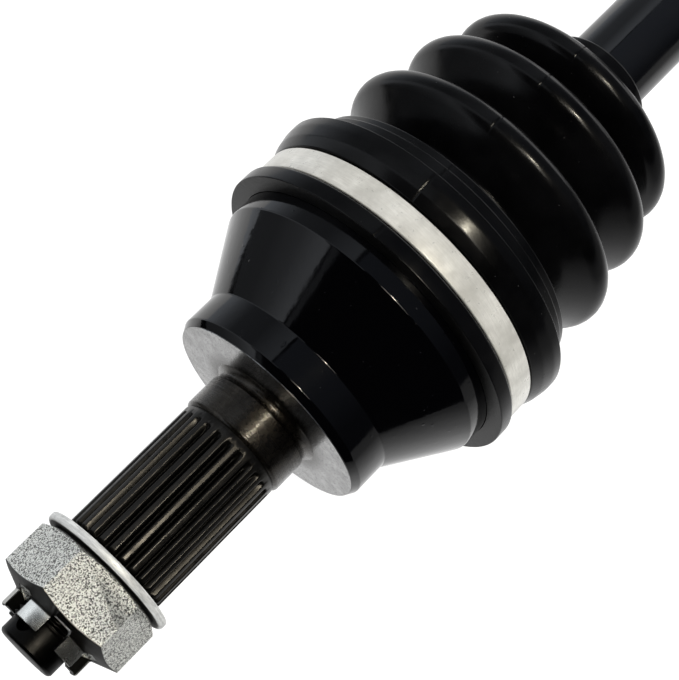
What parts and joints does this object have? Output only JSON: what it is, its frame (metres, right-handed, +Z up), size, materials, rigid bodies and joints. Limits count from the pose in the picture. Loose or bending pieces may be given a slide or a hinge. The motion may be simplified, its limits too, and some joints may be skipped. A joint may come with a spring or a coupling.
{
  "type": "cv axle",
  "caption": "Front wheel drive axle: splined wheel stub with castle nut, fixed ball joint, pleated boots, plain bar and plunging joint with gearbox stub.",
  "frame": {"origin": "centre of the flat end face of the wheel-end stub", "axes": "+X along the axle towards the gearbox end, +Z up, two of the balls of each joint on the Y axis"},
  "size_m": [0.5588, 0.0918, 0.0918],
  "materials": {
    "black_paint": "gloss black paint over forged steel, bare at the machined hub seat and splines",
    "zinc_plate": "matt zinc plate with a fine sandy grain",
    "boot_rubber": "satin black moulded rubber",
    "clamp_stainless": "bright rolled stainless band",
    "ground_steel": "ground and polished bearing steel",
    "hardened_steel": "hardened and ground steel, thinly oiled",
    "spring_steel": "phosphated spring steel"
  },
  "bodies": {
    "bar": {"axle_bar": "black_paint", "outboard_inner_race": "hardened_steel", "outboard_race_circlip": "spring_steel", "outboard_boot_small_clamp": "clamp_stainless", "inboard_inner_race": "hardened_steel", "inboard_race_circlip": "spring_steel", "inboard_boot_small_clamp": "clamp_stainless"},
    "outboard_drive_ball": {"outboard_ball_4": "ground_steel"},
    "outboard_cage_set": {"outboard_cage": "hardened_steel", "outboard_ball_2": "ground_steel", "outboard_ball_3": "ground_steel", "outboard_ball_5": "ground_steel", "outboard_ball_6": "ground_steel"},
    "outboard_hub_ball": {"outboard_ball_1": "ground_steel"},
    "wheel_end": {"outboard_housing": "black_paint", "castle_nut": "zinc_plate", "flat_washer": "zinc_plate", "outboard_boot": "boot_rubber", "outboard_boot_large_clamp": "clamp_stainless"},
    "inboard_ball_pair": {"inboard_ball_1": "ground_steel", "inboard_ball_4": "ground_steel"},
    "inboard_cage_set": {"inboard_cage": "hardened_steel", "inboard_ball_2": "ground_steel", "inboard_ball_3": "ground_steel", "inboard_ball_5": "ground_steel", "inboard_ball_6": "ground_steel"},
    "gearbox_end": {"inboard_housing": "black_paint", "inboard_retaining_ring": "spring_steel", "stub_circlip": "spring_steel", "inboard_boot": "boot_rubber", "inboard_boot_large_clamp": "clamp_stainless"}
  },
  "joints": [
    {"name": "outboard_bar_swing", "type": "hinge", "parent": "bar", "child": "outboard_drive_ball", "pos_m": [0.1188, 0, 0], "axis": [0, 0, 1], "range_deg": [-10.5, 10.5], "deforming": ["outboard_boot"]},
    {"name": "outboard_bar_lift", "type": "hinge", "parent": "outboard_drive_ball", "child": "outboard_cage_set", "pos_m": [0.1188, 0, 0], "axis": [0, 1, 0], "range_deg": [-10.5, 10.5], "deforming": ["outboard_boot"]},
    {"name": "outboard_hub_lift", "type": "hinge", "parent": "outboard_cage_set", "child": "outboard_hub_ball", "pos_m": [0.1188, 0, 0], "axis": [0, 1, 0], "range_deg": [-10.5, 10.5], "deforming": ["outboard_boot"]},
    {"name": "outboard_hub_swing", "type": "hinge", "parent": "outboard_hub_ball", "child": "wheel_end", "pos_m": [0.1188, 0, 0], "axis": [0, 0, 1], "range_deg": [-10.5, 10.5], "deforming": ["outboard_boot"]},
    {"name": "inboard_swing", "type": "hinge", "parent": "bar", "child": "inboard_ball_pair", "pos_m": [0.4588, 0, 0], "axis": [0, 0, 1], "range_deg": [-10.5, 10.5], "deforming": ["inboard_boot"]},
    {"name": "inboard_lift", "type": "hinge", "parent": "inboard_ball_pair", "child": "inboard_cage_set", "pos_m": [0.4588, 0, 0], "axis": [0, 1, 0], "range_deg": [-10.5, 10.5], "deforming": ["inboard_boot"]},
    {"name": "inboard_plunge", "type": "slide", "parent": "inboard_cage_set", "child": "gearbox_end", "axis": [1, 0, 0], "range_m": [-0.012, 0.012], "deforming": ["inboard_boot"]}
  ],
  "couplings": [
    {"joint": "outboard_hub_lift", "follows": "outboard_bar_lift", "ratio": 1},
    {"joint": "outboard_hub_swing", "follows": "outboard_bar_swing", "ratio": 1}
  ]
}
